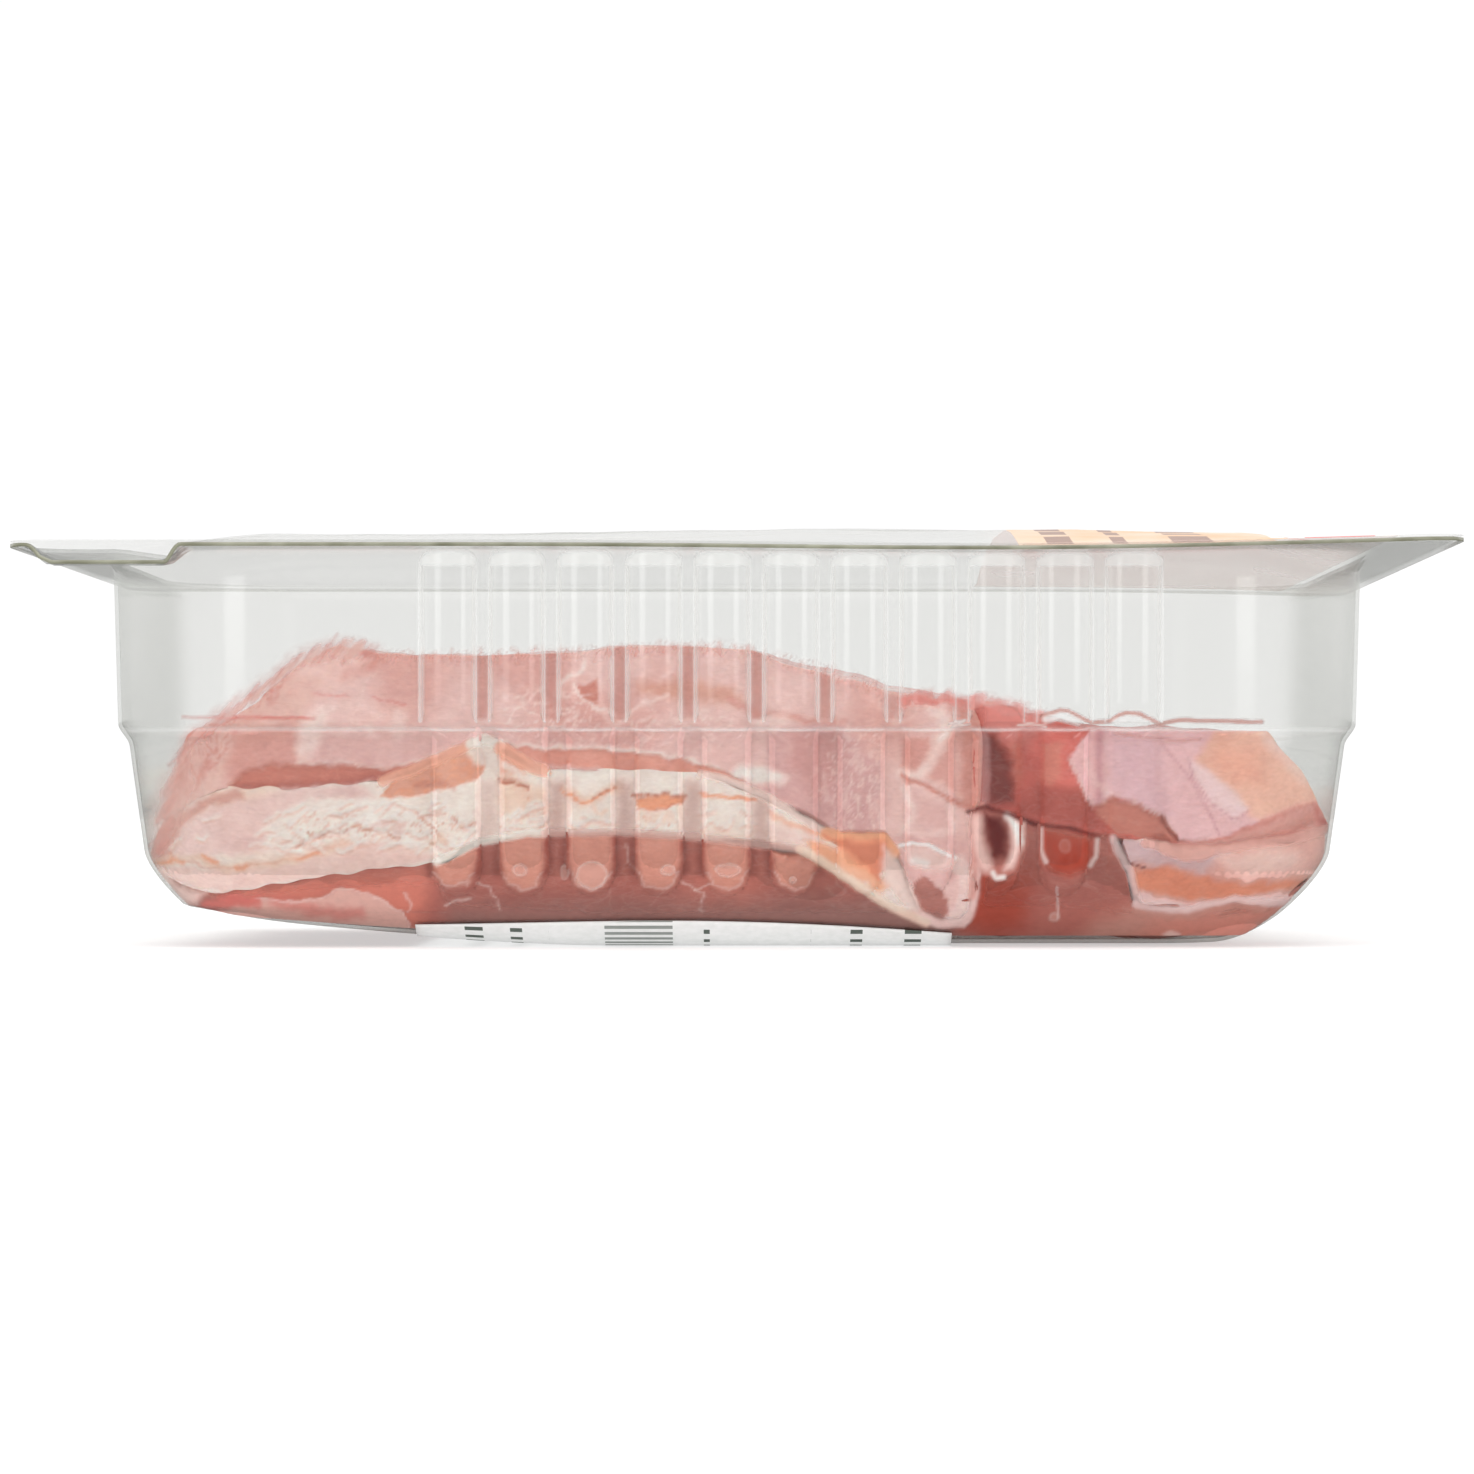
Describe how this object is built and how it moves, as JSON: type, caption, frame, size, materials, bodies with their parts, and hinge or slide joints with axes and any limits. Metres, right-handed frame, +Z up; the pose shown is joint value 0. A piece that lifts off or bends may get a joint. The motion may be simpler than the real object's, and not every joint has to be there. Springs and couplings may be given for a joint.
{
  "type": "sealed tray of raw pork cutlets",
  "caption": "Clear rounded-rectangle tray with a ribbed front wall, a step halfway up, a wide flange and a domed printed film lid, filled with stacked slices of raw pork.",
  "frame": {"origin": "middle of the pack's outline, on the plane that it rests on", "axes": "+X along the pack, -Y towards the ribbed front wall, +Z up to the film lid"},
  "size_m": [0.187, 0.137, 0.0576],
  "materials": {
    "clear_tray": "clear thermoformed sheet, glossy, olive-green at its cut edge",
    "lid_film": "thin taut printed lidding film with a clear window",
    "label_paper": "matt white label with small dark bars",
    "pork_lean": "wet brownish-rose lean meat",
    "pork_fat_edge": "wet cream and peach fat with pink lean",
    "pork_marbled": "wet pale pink meat with white marbling",
    "pork_membrane": "wet rose lean under a pale lilac membrane"
  },
  "bodies": {
    "root": {"tray": "clear_tray", "lid_film": "lid_film", "base_label": "label_paper", "cutlet_base": "pork_lean", "cutlet_middle_left": "pork_fat_edge", "cutlet_top_left": "pork_marbled", "cutlet_middle_right": "pork_fat_edge", "cutlet_top_right": "pork_membrane"}
  },
  "joints": []
}
